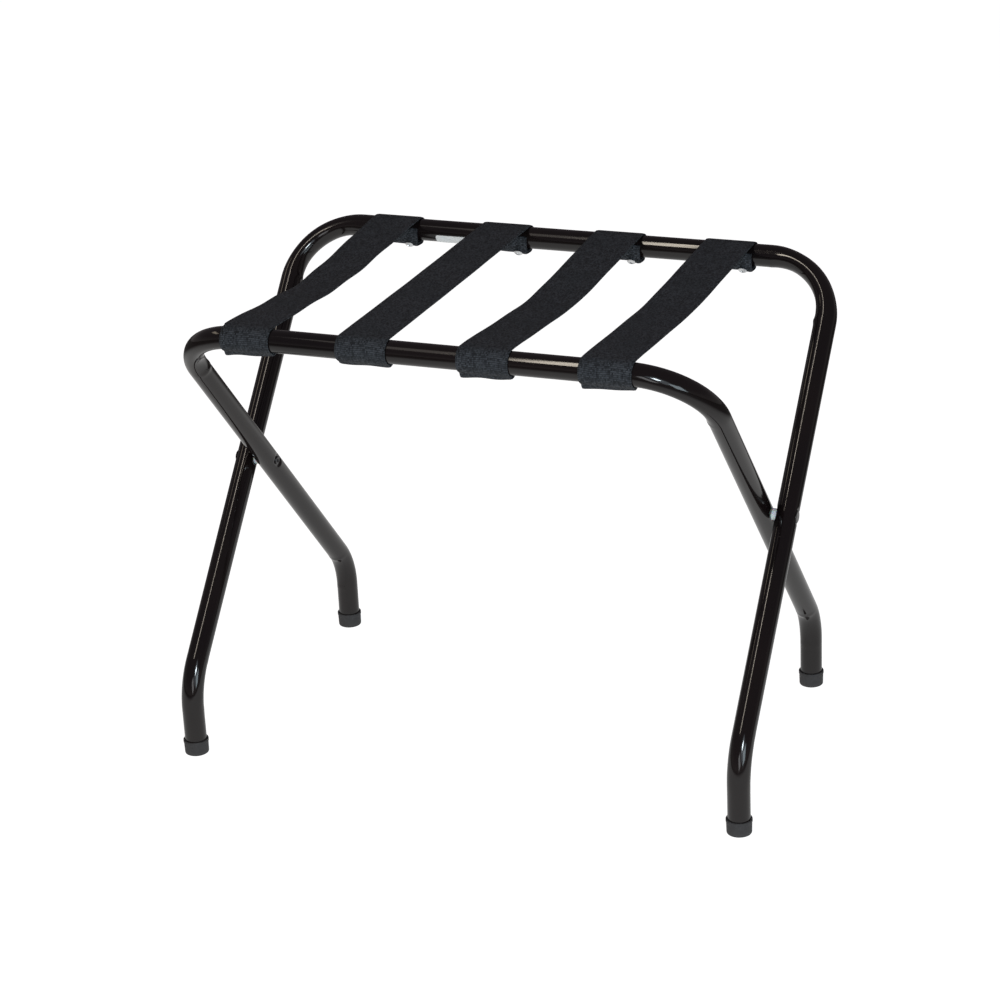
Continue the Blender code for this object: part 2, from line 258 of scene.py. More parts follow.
def bump(nodes, shader, height, distance, strength=1.0):
    """Relief from a height, which feeds the shader's normal."""
    made = nodes.add("ShaderNodeBump", {"Height": height, "Distance": distance, "Strength": strength})
    nodes.tree.links.new(made.outputs["Normal"], shader.inputs["Normal"])


def grain_and_wear(nodes, grain_scale, pits, wear_scale, amount):
    """The object's own coordinates, its grain and its wear, which most finishes here start from."""
    place = nodes.add("ShaderNodeTexCoord").outputs["Object"]
    grain = use_group(nodes, grain_group, Vector=place, Scale=grain_scale, Pits=pits)
    wear = use_group(nodes, wear_group, Vector=place, Scale=wear_scale, Amount=amount)
    return place, grain, wear


def feed(nodes, shader, colour, roughness):
    """Links a colour and a roughness to a shader."""
    nodes.tree.links.new(colour, shader.inputs["Base Color"])
    nodes.tree.links.new(roughness, shader.inputs["Roughness"])


print("helpers for materials ready")

# %% [markdown]
# ## Gloss black enamel
# The tubes are powder coated in a gloss black with a little warmth in it. What makes it read as
# enamel and not as plastic is the surface: a clear reflection that wavers slightly, because the
# film isn't quite flat, with dull specks of dust and a few rubbed marks in it.

# %% Enamel
enamel, n, shader = material("frame_enamel", Specular_IOR_Level=0.5)
place, peel, marks = grain_and_wear(n, 60.0, 0.0, 45.0, 0.35)
specks = n.ramp(n.noise(place, 900.0, 1.0), 0.72, 0.8)
colour = n.blend_colours(peel["Mottle"], (0.0056, 0.0038, 0.0042, 1), (0.0092, 0.0060, 0.0058, 1))
colour = n.blend_colours(n.math("MULTIPLY", marks["Scratch"], 0.35), colour, (0.05, 0.045, 0.042, 1))
colour = n.blend_colours(n.math("MULTIPLY", specks, 0.4), colour, (0.045, 0.04, 0.036, 1))
rough = n.ramp(peel["Mottle"], 0.0, 1.0, 0.07, 0.10)
rough = n.math("ADD", rough, n.math("MULTIPLY", marks["Mask"], 0.16))
rough = n.math("ADD", rough, n.math("MULTIPLY", marks["Scratch"], 0.25))
feed(n, shader, colour, rough)
bump(n, shader, peel["Height"], 0.00001, 0.3)
print("enamel ready")

# %% [markdown]
# ## The bent tubes
# Each frame is one length of 23 mm steel tube with four bends: two wide ones at the corners of the
# rail and two at the feet, which bring the last few centimetres upright. A curve object with a
# bevel would give a perfect tube, but a real bender leaves its marks: the tube goes flatter across
# a bend, a little step shows where the former let go, and the legs are pressed flat at the pivots.
# So the tube is a profile carried along a path, with the radius as a function of both parameters.


# %% The path of a tube
def bent_path(corners, radii, spacing):
    """Centres and tangents along straight lines joined by arcs, and each arc's first and last distance.

    An arc of radius r at a corner with turn t starts r * tan(t / 2) before it. A point on it at an
    angle a is start + u * r * sin(a) + side * r * (1 - cos(a)).
    """
    centres, tangents, bends = [], [], []
    at = corners[0]
    travelled = 0.0
    for before, corner, after, radius in zip(corners, corners[1:], corners[2:], radii):
        u = unit(corner - before)
        v = unit(after - corner)
        turn = math.acos(float(np.clip(u @ v, -1, 1)))
        side = unit(v - (v @ u) * u)
        start = corner - u * radius * math.tan(turn / 2)
        run = np.linalg.norm(start - at)
        count = max(2, int(run / spacing))
        steps = np.linspace(0, 1, count, endpoint=False)[:, None]
        straight = at + (start - at) * steps
        centres.append(straight[1:] if centres else straight)
        tangents.append(np.repeat(u[None], len(centres[-1]), axis=0))
        travelled += run
        length = radius * turn
        angle = np.linspace(0, turn, int(length / spacing) + 2)[:, None]
        centres.append(start + u * radius * np.sin(angle) + side * radius * (1 - np.cos(angle)))
        tangents.append(u * np.cos(angle) + side * np.sin(angle))
        bends.append((travelled, travelled + length))
        travelled += length
        at = centres[-1][-1]
    u = unit(corners[-1] - at)
    count = max(2, int(np.linalg.norm(corners[-1] - at) / spacing))
    steps = np.linspace(0, 1, count + 1)[1:, None]
    centres.append(at + (corners[-1] - at) * steps)
    tangents.append(np.repeat(u[None], count, axis=0))
    return np.concatenate(centres), np.concatenate(tangents), bends


def distances_along(centres):
    """How far each ring is along its path."""
    return np.concatenate([[0.0], np.cumsum(np.linalg.norm(np.diff(centres, axis=0), axis=1))])


def tube_corners(half, way):
    """The corners of a frame's centre line, from its left foot over its rail to its right foot."""
    feet = np.array([[-half, -way * FOOT_Y, FOOT_LOW], [half, -way * FOOT_Y, FOOT_LOW]])
    knees = np.array([[-half, -way * FOOT_Y, KNEE_Z], [half, -way * FOOT_Y, KNEE_Z]])
    tops = np.array([[-half, way * RAIL_Y, RAIL_Z], [half, way * RAIL_Y, RAIL_Z]])
    return np.array([feet[0], knees[0], tops[0], tops[1], knees[1], feet[1]])


def without_spare_rings(path):
    """A path with only one ring in PLAIN_EVERY left where the tube is straight and plain.

    A ring stays if it is near a bend, near a pivot, or at the tube's end, where the shape changes.
    """
    centres, tangents, bends = path
    along = distances_along(centres)
    near_pivot = np.linalg.norm(centres[:, 1:] - np.array([0.0, PIVOT_Z]), axis=1) < PIVOT_ZONE
    keep = near_pivot | (np.arange(len(along)) % PLAIN_EVERY == 0)
    keep[[0, -1]] = True
    for start, end in bends:
        keep = keep | ((along > start - BEND_ZONE) & (along < end + BEND_ZONE))
    return centres[keep], tangents[keep], bends


OUTER_CORNER_R = 0.068
INNER_CORNER_R = 0.073
FOOT_BEND_R = 0.0745
TUBE_SPACING = 0.0013
PLAIN_EVERY = 8
PIVOT_ZONE = 0.014
BEND_ZONE = 0.012
outer_bends = (FOOT_BEND_R, OUTER_CORNER_R, OUTER_CORNER_R, FOOT_BEND_R)
inner_bends = (FOOT_BEND_R, INNER_CORNER_R, INNER_CORNER_R, FOOT_BEND_R)
outer_path = without_spare_rings(bent_path(tube_corners(OUTER_HALF, 1), outer_bends, TUBE_SPACING))
inner_path = without_spare_rings(bent_path(tube_corners(INNER_HALF, -1), inner_bends, TUBE_SPACING))
print("rings along the tubes:", len(outer_path[0]), len(inner_path[0]))

# %% The skin of a tube
TUBE_SEGMENTS = 64
CORNER_SQUASH = (-0.11, 0.0275)
FOOT_SQUASH = (0.022, -0.0495)
RUN_IN = 0.004
SOFT_SHARE = 0.3
INNER_FLAT = 0.0006
STEP_HEIGHT = 0.0009
STEP_WIDTH = 0.0035
STEP_SHARES = ((0.6, 0.6), (1.0, 0.25), (0.25, 1.0), (0.6, 0.6))
DIMPLE_R = 0.0066
DIMPLE_EDGE = 0.0022
SPACER_SEAT = TUBE_R - 0.0018
RIVET_SEAT = TUBE_R - 0.0012
TAIL_SEAT = TUBE_R - 0.0020


def tube_skin(path, way, half, radius):
    """The grid of a tube's surface: rings round the path, one row of points each.

    A point is centre + r * (p * cos(a) * in_plane + q * sin(a) * through). In a corner bend p falls
    below 1, which flattens the tube towards the bend's centre, and q rises a little. A foot bend is
    bent in the other plane, so there q falls and p rises. Near a bend's ends the inner side stands
    out in a low step, most where a corner bend meets its leg. At the pivot both sides of a leg are
    pressed flat: a point within the dimple moves towards a plane, by a smooth step of its distance
    from the pivot's line.
    """
    centres, tangents, bends = path
    through = np.array([0.0, math.cos(LEAN) * way, -math.sin(LEAN)]) * way
    through = unit(through - (tangents @ through)[:, None] * tangents)
    in_plane = np.cross(through, tangents)
    along = distances_along(centres)
    angle = np.linspace(0, 2 * math.pi, TUBE_SEGMENTS, endpoint=False)[None]
    p = np.ones(len(along))
    q = np.ones(len(along))
    relief = np.zeros((len(along), TUBE_SEGMENTS))
    for number, (start, end) in enumerate(bends):
        soft = SOFT_SHARE * (end - start)
        inside = smooth_step(along, start - RUN_IN, start + soft)
        inside = inside * (1 - smooth_step(along, end - soft, end + RUN_IN))
        at_corner = number in (1, 2)
        inner_side = 0.0 if at_corner else way * math.pi / 2
        p_change, q_change = CORNER_SQUASH if at_corner else FOOT_SQUASH
        p = p + p_change * inside
        q = q + q_change * inside
        inward = 0.5 + 0.5 * np.cos(angle - inner_side)
        first, last = STEP_SHARES[number]
        steps = first * np.exp(-(((along - start) / STEP_WIDTH) ** 2))
        steps = steps + last * np.exp(-(((along - end) / STEP_WIDTH) ** 2))
        relief = relief + STEP_HEIGHT * steps[:, None] * inward**4
        relief = relief - (INNER_FLAT if at_corner else 0.0) * inside[:, None] * inward**3
    size = radius + relief
    across = in_plane[:, None, :] * (p[:, None] * np.cos(angle) * size)[..., None]
    deep = through[:, None, :] * (q[:, None] * np.sin(angle) * size)[..., None]
    points = centres[:, None, :] + across + deep
    reach = np.linalg.norm(points[..., 1:] - np.array([0.0, PIVOT_Z]), axis=-1)
    pressed = 1 - smooth_step(reach, DIMPLE_R, DIMPLE_R + DIMPLE_EDGE)
    off_centre = np.abs(points[..., 0]) - half
    inward_seat = SPACER_SEAT if way == 1 else TAIL_SEAT
    outward_seat = RIVET_SEAT if way == 1 else SPACER_SEAT
    thinner = TUBE_R - radius
    held = np.clip(off_centre, -(inward_seat - thinner), outward_seat - thinner)
    near = np.abs(off_centre) < 2 * TUBE_R
    moved = off_centre + np.where(near, pressed * (held - off_centre), 0)
    points[..., 0] = np.sign(points[..., 0]) * (half + moved)
    return points


def bent_tube(name, path, way, half):
    """A closed tube: an outer skin, an inner one facing the other way, and a ring at each end."""
    outside = tube_skin(path, way, half, TUBE_R)
    inside = tube_skin(path, way, half, TUBE_R - WALL)
    rows = len(outside)
    count = rows * TUBE_SEGMENTS
    ring = np.arange(TUBE_SEGMENTS)
    nxt = (ring + 1) % TUBE_SEGMENTS
    start = np.stack([ring, ring + count, nxt + count, nxt], axis=-1)
    last = count - TUBE_SEGMENTS
    end = np.stack([nxt + last, nxt + last + count, ring + last + count, ring + last], axis=-1)
    skins = [grid_faces(rows, TUBE_SEGMENTS), grid_faces(rows, TUBE_SEGMENTS, first=count)[:, ::-1]]
    faces = np.concatenate([*skins, start, end])
    points = np.concatenate([outside.reshape(-1, 3), inside.reshape(-1, 3)])
    piece = mesh_piece(name, points, faces, smooth_angle=50)
    piece.data.materials.append(enamel)
    return piece


def signed_volume(piece):
    """The volume inside a mesh, which is negative if its faces point inwards."""
    mesh = piece.data
    mesh.calc_loop_triangles()
    corners = np.empty(len(mesh.loop_triangles) * 3, dtype=np.int32)
    mesh.loop_triangles.foreach_get("vertices", corners)
    places = np.empty(len(mesh.vertices) * 3)
    mesh.vertices.foreach_get("co", places)
    a, b, c = places.reshape(-1, 3)[corners.reshape(-1, 3)].transpose(1, 0, 2)
    return float((a * np.cross(b, c)).sum() / 6)


def face_outwards(piece):
    """Turns a piece's faces round if they point inwards, and says how much it holds."""
    volume = signed_volume(piece)
    if volume < 0:
        piece.data.flip_normals()
    triangles = len(piece.data.loop_triangles)
    print(f"{piece.name}: {abs(volume) * 1e6:.2f} ml, {triangles} triangles, turned {volume < 0}")


outer_tube = bent_tube("outer_tube", outer_path, 1, OUTER_HALF)
inner_tube = bent_tube("inner_tube", inner_path, -1, INNER_HALF)
for piece, body, node in ((outer_tube, "outer", "outer_frame"), (inner_tube, "inner", "inner_frame")):
    face_outwards(piece)
    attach(piece, body)
    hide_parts(node)

# %% [markdown]
# ## Turned shapes
# The foot caps, rivets, spacers and screw heads are all round. A lathe shape is a profile swept
# round an axis: the profile gives a distance along the axis and a radius, and the sweep is one
# outer product with the sine and cosine of the angle. Blender's Spin tool does the same by hand.


# %% Sweep a profile round an axis
def rounded(profile, bevels, steps=4):
    """A profile whose corners are cut to short arcs, each drawn as a quadratic curve."""
    profile = np.array(profile, dtype=float)
    out = [profile[:1]]
    t = np.linspace(0, 1, steps + 1)[:, None]
    for before, corner, after, bevel in zip(profile, profile[1:], profile[2:], bevels):
        a = corner + unit(before - corner) * bevel
        b = corner + unit(after - corner) * bevel
        out.append((1 - t) ** 2 * a + 2 * t * (1 - t) * corner + t**2 * b if bevel else corner[None])
    out.append(profile[-1:])
    return np.concatenate(out)


def turned_points(profile, segments, origin, axis):
    """Points round an axis: origin + along * axis + radius * (cos(a) * u + sin(a) * v)."""
    axis = unit(np.array(axis, dtype=float))
    helper = np.array([1.0, 0, 0]) if abs(axis[0]) < 0.9 else np.array([0, 0, 1.0])
    u = unit(np.cross(axis, helper))
    v = np.cross(axis, u)
    angle = np.linspace(0, 2 * math.pi, segments, endpoint=False)[:, None]
    round_it = np.cos(angle) * u + np.sin(angle) * v
    return np.array(origin) + profile[:, :1, None] * axis + profile[:, 1:, None] * round_it


def turned(name, profile, segments, origin, axis, closed=False):
    """A lathe shape. An open profile runs from tip to tip on the axis, a closed one goes round a hole."""
    points = turned_points(profile, segments, origin, axis)
    rows = len(profile)
    if closed:
        points = np.concatenate([points, points[:1]])
        rows += 1
    faces = grid_faces(rows, segments)
    piece = mesh_piece(name, points.reshape(-1, 3), faces)
    weld(piece)
    piece.data.set_sharp_from_angle(angle=math.radians(40))
    return piece


def weld(piece, distance=1e-6):
    """Merges points that lie on each other, such as a seam or a pole, and drops faces left flat."""
    work = bmesh.new()
    work.from_mesh(piece.data)
    bmesh.ops.remove_doubles(work, verts=work.verts, dist=distance)
    bmesh.ops.dissolve_degenerate(work, edges=work.edges, dist=distance)
    bmesh.ops.recalc_face_normals(work, faces=work.faces)
    work.to_mesh(piece.data)
    work.free()
    piece.data.polygons.foreach_set("use_smooth", np.ones(len(piece.data.polygons), dtype=bool))


print("lathe ready")

# %% [markdown]
# ## Rubber foot caps
# Each foot ends in a soft black cap that keeps the tube off the floor. It is a thimble with a thick
# base and a rolled lip, dull and slightly mottled, with paler scuffs near the bottom where it rubs
# on floors. The scuffs come from the height above the floor mixed with noise.

# %% Cap rubber
rubber, n, shader = material("cap_rubber", Specular_IOR_Level=0.35)
place, skin, marks = grain_and_wear(n, 1500.0, 0.6, 120.0, 0.7)
height_above = n.add("ShaderNodeSeparateXYZ", {0: place}).outputs["Z"]
low_down = n.ramp(height_above, 0.0, 0.006, 1.0, 0.0)
low_down = n.math("MULTIPLY", low_down, n.noise(place, 300.0, 4.0))
colour = n.blend_colours(skin["Mottle"], (0.037, 0.036, 0.038, 1), (0.052, 0.051, 0.053, 1))
rubbed = n.math("MULTIPLY", marks["Mask"], 0.35)
scuffed = n.math("ADD", rubbed, n.math("MULTIPLY", low_down, 0.5), clamp=True)
colour = n.blend_colours(scuffed, colour, (0.085, 0.082, 0.08, 1))
feed(n, shader, colour, n.ramp(skin["Mottle"], 0.0, 1.0, 0.55, 0.72))
bump(n, shader, skin["Height"], 0.00012, 0.7)
print("rubber ready")

# %% Caps
cap_low, cap_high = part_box("outer_foot_cap_right")
CAP_R = (cap_high[0] - cap_low[0]) / 2 - 0.0003
CAP_H = 0.016
CAP_BASE = 0.003
cap_profile = rounded(
    [(0, 0), (0, CAP_R - 0.0004), (0.0122, CAP_R - 0.0001), (0.0129, CAP_R + 0.0003), (CAP_H, CAP_R + 0.0003),
     (CAP_H, TUBE_R + 0.0001), (CAP_BASE, TUBE_R + 0.0001), (CAP_BASE, 0)],
    (0.0014, 0.0006, 0.0003, 0.0007, 0.0002, 0.0, 0.0),
)
for frame_name in ("outer", "inner"):
    for hand in ("left", "right"):
        node = f"{frame_name}_foot_cap_{hand}"
        foot = middle_of(node)
        cap = turned(f"{frame_name}_cap_{hand}", cap_profile, 64, (foot[0], foot[1], 0), (0, 0, 1))
        cap.data.materials.append(rubber)
        face_outwards(cap)
        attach(cap, frame_name)
        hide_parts(node)

# %% [markdown]
# ## Pivots
# At each pivot a rivet goes through both legs, with a nylon spacer between them that sits in the
# two pressed seats. Outside shows a low domed head in the same black as the tube. Inside shows the
# rivet's rolled end, which is a ring round a small hole.

# %% Rivet finish and spacer nylon
rivet_steel, n, shader = material("rivet_black", Metallic=0.0, Coat_Weight=0.3, Coat_Roughness=0.08)
_, skin, marks = grain_and_wear(n, 700.0, 0.2, 260.0, 0.8)
worn = n.math("MAXIMUM", marks["Mask"], n.math("MULTIPLY", marks["Scratch"], 0.6))
colour = n.blend_colours(skin["Mottle"], (0.011, 0.010, 0.011, 1), (0.02, 0.018, 0.019, 1))
colour = n.blend_colours(worn, colour, (0.2, 0.19, 0.18, 1))
n.tree.links.new(n.math("MULTIPLY", worn, 0.85), shader.inputs["Metallic"])
feed(n, shader, colour, n.ramp(skin["Mottle"], 0.0, 1.0, 0.22, 0.36))
bump(n, shader, skin["Height"], 0.00008, 0.6)

nylon, n, shader = material("spacer_nylon", Subsurface_Weight=0.25, Subsurface_Scale=0.002)
_, skin, marks = grain_and_wear(n, 900.0, 0.3, 240.0, 0.55)
colour = n.blend_colours(skin["Mottle"], (0.80, 0.93, 0.96, 1), (0.88, 0.96, 0.98, 1))
colour = n.blend_colours(n.math("MULTIPLY", marks["Mask"], 0.5), colour, (0.45, 0.50, 0.51, 1))
feed(n, shader, colour, n.ramp(skin["Mottle"], 0.0, 1.0, 0.34, 0.5))
bump(n, shader, skin["Height"], 0.00005, 0.5)
print("rivet black and nylon ready")

# %% Rivets and spacers
RIVET_R = 0.003
RIVET_HEAD_R = 0.0065
RIVET_HEAD_H = 0.0012
TAIL_R = 0.0045
head_start = OUTER_HALF + RIVET_SEAT
tail_start = INNER_HALF - TAIL_SEAT
t = np.linspace(0, 1, 9)
RIM_H = 0.0009
CROWN_R = RIVET_HEAD_R - 0.0007
ROLL_R = 0.0008
dome_x = head_start + RIM_H + (RIVET_HEAD_H - RIM_H) * np.sin(t * math.pi / 2)
dome = np.stack([dome_x, CROWN_R * np.cos(t * math.pi / 2)], axis=-1)
roll_x = tail_start - ROLL_R - ROLL_R * np.sin(t * math.pi)
roll = np.stack([roll_x, 0.0031 + 0.0014 * np.cos(t * math.pi)], axis=-1)[::-1]
rivet_profile = np.concatenate([
    [(tail_start + 0.005, 0.0), (tail_start + 0.0046, 0.0014)],
    roll,
    [(tail_start + 0.0002, TAIL_R - 0.0003), (tail_start, RIVET_R), (head_start, RIVET_R)],
    [(head_start - 0.0001, RIVET_HEAD_R - 0.0004), (head_start + 0.0002, RIVET_HEAD_R)],
    [(head_start + 0.0007, RIVET_HEAD_R - 0.0001)],
    dome,
])
SPACER_R = 0.006
SPACER_BORE = RIVET_R + 0.0001
spacer_low = INNER_HALF + SPACER_SEAT
spacer_high = OUTER_HALF - SPACER_SEAT
spacer_seam = (spacer_low, 0.0048)
spacer_profile = rounded(
    [spacer_seam, (spacer_low, SPACER_R), (spacer_high, SPACER_R), (spacer_high, SPACER_BORE),
     (spacer_low, SPACER_BORE), spacer_seam],
    (0.0004, 0.0004, 0.0, 0.0),
)[:-1]
for side, hand in ((-1, "left"), (1, "right")):
    centre = (0, 0, PIVOT_Z)
    rivet = turned(f"rivet_{hand}", rivet_profile, 48, centre, (side, 0, 0))
    rivet.data.materials.append(rivet_steel)
    spacer = turned(f"spacer_{hand}", spacer_profile, 64, centre, (side, 0, 0), closed=True)
    spacer.data.materials.append(nylon)
    for piece, slot in ((rivet, "rivet"), (spacer, "spacer")):
        face_outwards(piece)
        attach(piece, "outer")
        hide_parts(f"pivot_{slot}_{hand}")

# %% [markdown]
# ## Webbing
# The straps are black polypropylene webbing, 53 mm wide: thick weft yarns run across it, and the
# warp yarns pass over and under them, which gives fine ribs across the strap. Each strap is one
# piece of webbing that goes round both rails, with its ends folded under. The weave follows the
# strap, so the mesh carries a flat map in metres, and the pattern is worked out from that.

# %% The weave group
inputs = [("Vector", "Vector", None), ("Warp", "Float", 0.0011), ("Weft", "Float", 0.0016)]
outputs = [("Height", "Float"), ("Gap shade", "Float"), ("Yarn", "Float")]
weave_group, n, gin, gout = group("weave", inputs, outputs)
flat = n.add("ShaderNodeSeparateXYZ", {0: gin["Vector"]})
u = n.math("DIVIDE", flat.outputs["X"], gin["Warp"])
v = n.math("DIVIDE", flat.outputs["Y"], gin["Weft"])
column = n.math("FLOOR", u)
row = n.math("FLOOR", v)
over = n.math("MODULO", n.math("ADD", n.math("ABSOLUTE", column), n.math("ABSOLUTE", row)), 2.0)
across = n.math("SINE", n.math("MULTIPLY", n.math("FRACT", u), math.pi))
along = n.math("SINE", n.math("MULTIPLY", n.math("FRACT", v), math.pi))
arched = n.math("ADD", n.math("MULTIPLY", along, 0.6), 0.4)
lifted = n.math("ADD", n.math("MULTIPLY", over, 0.35), 0.65)
warp_top = n.math("MULTIPLY", n.math("MULTIPLY", across, arched), lifted)
rib = n.math("MULTIPLY", n.math("POWER", along, 0.7), 0.75)
height = n.math("MAXIMUM", warp_top, rib)
n.tree.links.new(height, gout["Height"])
# Gap shade marks the weave's low spots between yarns, where the webbing gets painted shade.
n.tree.links.new(n.ramp(height, 0.15, 0.55, 1.0, 0.0), gout["Gap shade"])
shift = n.add("ShaderNodeCombineXYZ", {"X": column, "Y": n.math("MULTIPLY", row, 0.37), "Z": over}).outputs[0]
n.tree.links.new(n.add("ShaderNodeTexWhiteNoise", {"Vector": shift}).outputs["Value"], gout["Yarn"])
print("weave ready")

# %% Webbing
webbing, n, shader = material("webbing", Specular_IOR_Level=0.2)
coordinates = n.add("ShaderNodeTexCoord").outputs
cloth = use_group(n, weave_group, Vector=coordinates["UV"], Warp=0.0014, Weft=0.0019)
fuzz = use_group(n, grain_group, Vector=coordinates["Object"], Scale=2600.0, Pits=0.0)
fading = n.noise(coordinates["Object"], 28.0, 3.0)
colour = n.blend_colours(cloth["Yarn"], (0.013, 0.0155, 0.0190, 1), (0.076, 0.085, 0.099, 1))
colour = n.blend_colours(n.ramp(fading, 0.35, 0.7, 0.0, 0.35), colour, (0.048, 0.053, 0.061, 1))
# Painted shade: the weave's low spots between yarns are darkened to near black.
colour = n.blend_colours(cloth["Gap shade"], colour, (0.007, 0.007, 0.008, 1))
feed(n, shader, colour, n.ramp(fading, 0.3, 0.7, 0.62, 0.78))
relief = n.math("ADD", cloth["Height"], n.math("MULTIPLY", fuzz["Height"], 0.18))
bump(n, shader, relief, 0.0006, 0.9)
print("webbing ready")

# %% [markdown]
# ## Straps
# A strap is one ribbon. Its path lies in the plane across the rails: from the folded end under the
# rear rail, round the outside and over the top, across the gap, and round the front rail in the
# same way. Each strap sags by its own amount, and not evenly from edge to edge, so the height is a
# function of both parameters. A cloth simulation would have to be steered to each strap's own sag
# and to the twist of the one at the left, so the shape is worked out instead.

# %% The path round a rail
STRAP_W = 0.053
STRAP_T = 0.0017
AIR = 0.0003
LAYER_R = TUBE_R + AIR + STRAP_T / 2
HEM_R = LAYER_R + STRAP_T + AIR
HEM_TOP = 195.0
HEM_LOW = 78.0


def wrap_profile(step):
    """Angle in degrees and radius along one wrap, from the top of the rail round its outward side.

    The radius is that of one layer down to the folded part, where a smooth step lifts it onto the
    inner layer. At the end the ribbon turns through half a circle and comes back against the rail.
    """
    turn = np.degrees(step / LAYER_R)
    out = np.arange(90.0, -HEM_TOP, -turn)
    lift = smooth_step(-out, HEM_LOW - 14, HEM_LOW + 8)
    outer = np.stack([out, LAYER_R + lift * (HEM_R - LAYER_R)], axis=-1)
    middle = (HEM_R + LAYER_R) / 2
    bend = np.linspace(0, math.pi, 9)[1:-1]
    fold_r = (HEM_R - LAYER_R) / 2
    past = np.degrees(fold_r * np.sin(bend) / middle)
    fold = np.stack([-HEM_TOP - past, middle + fold_r * np.cos(bend)], axis=-1)
    back = np.arange(-HEM_TOP, -HEM_LOW, turn)
    inner = np.stack([back, np.full(len(back), LAYER_R)], axis=-1)
    return np.concatenate([outer, fold, inner])


profile = wrap_profile(0.0013)
print("points along a wrap:", len(profile))


# %% How far a tube's middle is from its rail's line
def rail_shift(x, path, way):
    """The move in Y and Z of a tube's centre from the straight rail, at places x along it."""
    centres = path[0]
    top = centres[:, 2] > RAIL_Z - 0.02
    y = np.interp(x, centres[top, 0], centres[top, 1]) - way * RAIL_Y
    z = np.interp(x, centres[top, 0], centres[top, 2]) - RAIL_Z
    return y, z


print("rear rail's shift at its middle:", rail_shift(0.0, outer_path, 1))

# %% The shape of a strap
ACROSS = 25
SPAN_STEP = 0.0022
CREASE_Y = -0.008
RIPPLE_LENGTH = 0.085


def crease(y, end, reach):
    """How much of the sag is left at y: a soft V whose point is at the crease.

    Each side falls in a straight line from its rail to the crease, and the square root rounds off
    the point over a share reach of that side. The last factor levels it off just before the rail.
    """
    rear_share = (y - CREASE_Y) / (end - CREASE_Y)
    front_share = (CREASE_Y - y) / (end + CREASE_Y)
    side = np.where(y > CREASE_Y, rear_share, front_share)
    soft = np.sqrt(side * side + reach * reach) - reach
    line = 1 - soft / (math.sqrt(1 + reach * reach) - reach)
    return line * (1 - np.abs(side) ** 7)


HANGS = (
    (0.0018, -0.0030, 0.0004, 0.4),
    (0.0006, -0.0010, 0.0004, 4.0),
    (0.0025, -0.0024, 0.0006, -0.4),
    (0.0019, -0.0034, 0.0003, 0.0),
)
REAR_HANG = ((0.0002, 0.0000, 0.0001, 0.0), (0.0006, 0.0004, 0.0003, 6.28))
REAR_BOX = (0.25, 0.50)


def strap_surface(number, front_x, rear_x, sags, ripple):
    """The middle surface of a strap as a grid (along, across, 3), and its flat map.

    Round a rail a point is the rail's middle plus r at the path's angle. Between the rails z is the
    top of the rails less the sag, which goes evenly from one edge's to the other's. Ripple is a
    small wave near the edges. A front hem hangs loose by up to about 4 mm, more at one corner than
    at the other, and a rear one by about 1 mm at most. A rear hem is also boxy: its radius goes a
    share of the way from a circle's to a square's, 1 / max(|cos|, |sin|), in the lower quarter
    that faces the front.
    """
    random = np.random.default_rng(number)
    u = np.linspace(-0.5, 0.5, ACROSS)[None]
    end = RAIL_Y
    y = np.arange(end - SPAN_STEP, -end + SPAN_STEP / 2, -SPAN_STEP)[:, None]
    slack = (sags[0] * (0.5 - u) + sags[1] * (0.5 + u)) * crease(y, end, 0.12)
    wave = ripple * np.sin(2 * math.pi * y / RIPPLE_LENGTH + 1.3 + 2.2 * u)
    wave = wave * (np.abs(2 * u) ** 2) * crease(y, end, 0.5)
    level = RAIL_Z + LAYER_R
    share = (y + end) / (2 * end)
    middle_x = front_x + share * (rear_x - front_x)
    span = np.stack(np.broadcast_arrays(middle_x + u * STRAP_W, y, level - slack + wave), axis=-1)
    wraps = {}
    for way, x, path in ((1, rear_x, outer_path), (-1, front_x, inner_path)):
        shift_y, shift_z = rail_shift(x + u * STRAP_W, path, way)
        angle = np.radians(profile[:, :1])
        under = smooth_step(-profile[:, :1], 60, 95) * smooth_step(profile[:, 1:], LAYER_R + 0.0002, HEM_R)
        base, tilt, swing, phase = HANGS[number - 1] if way == -1 else random.uniform(*REAR_HANG)
        loose = base + tilt * u + swing * np.sin(9.0 * u + phase)
        hang = under * np.clip(loose, 0.0, None) * np.clip(-np.sin(angle) + 0.25, 0, 1)
        if way == 1:
            lower = (profile[:, :1] < -90) & (profile[:, :1] > -180)
            square = 1 / np.maximum(np.abs(np.cos(angle)), np.abs(np.sin(angle))) - 1
            share = REAR_BOX[0] + REAR_BOX[1] * smooth_step(u, 0.2, 0.5)
            hang = hang + np.where(lower, HEM_R * square, 0.0) * share
        r = profile[:, 1:] + hang
        wy = way * RAIL_Y + shift_y + way * r * np.cos(angle)
        wz = RAIL_Z + shift_z + r * np.sin(angle)
        wraps[way] = np.stack(np.broadcast_arrays(x + u * STRAP_W, wy, wz), axis=-1)
    grid = np.concatenate([wraps[1][::-1], span, wraps[-1]])
    lengths = np.linalg.norm(np.diff(grid[:, ACROSS // 2], axis=0), axis=1)
    along = np.concatenate([[0.0], np.cumsum(lengths)])
    flat_u = (u + 0.5) * STRAP_W + 0.001
    flat_v = along[:, None] + 0.0004 * np.sin(9 * u)
    return grid, np.stack(np.broadcast_arrays(flat_u, flat_v), axis=-1)


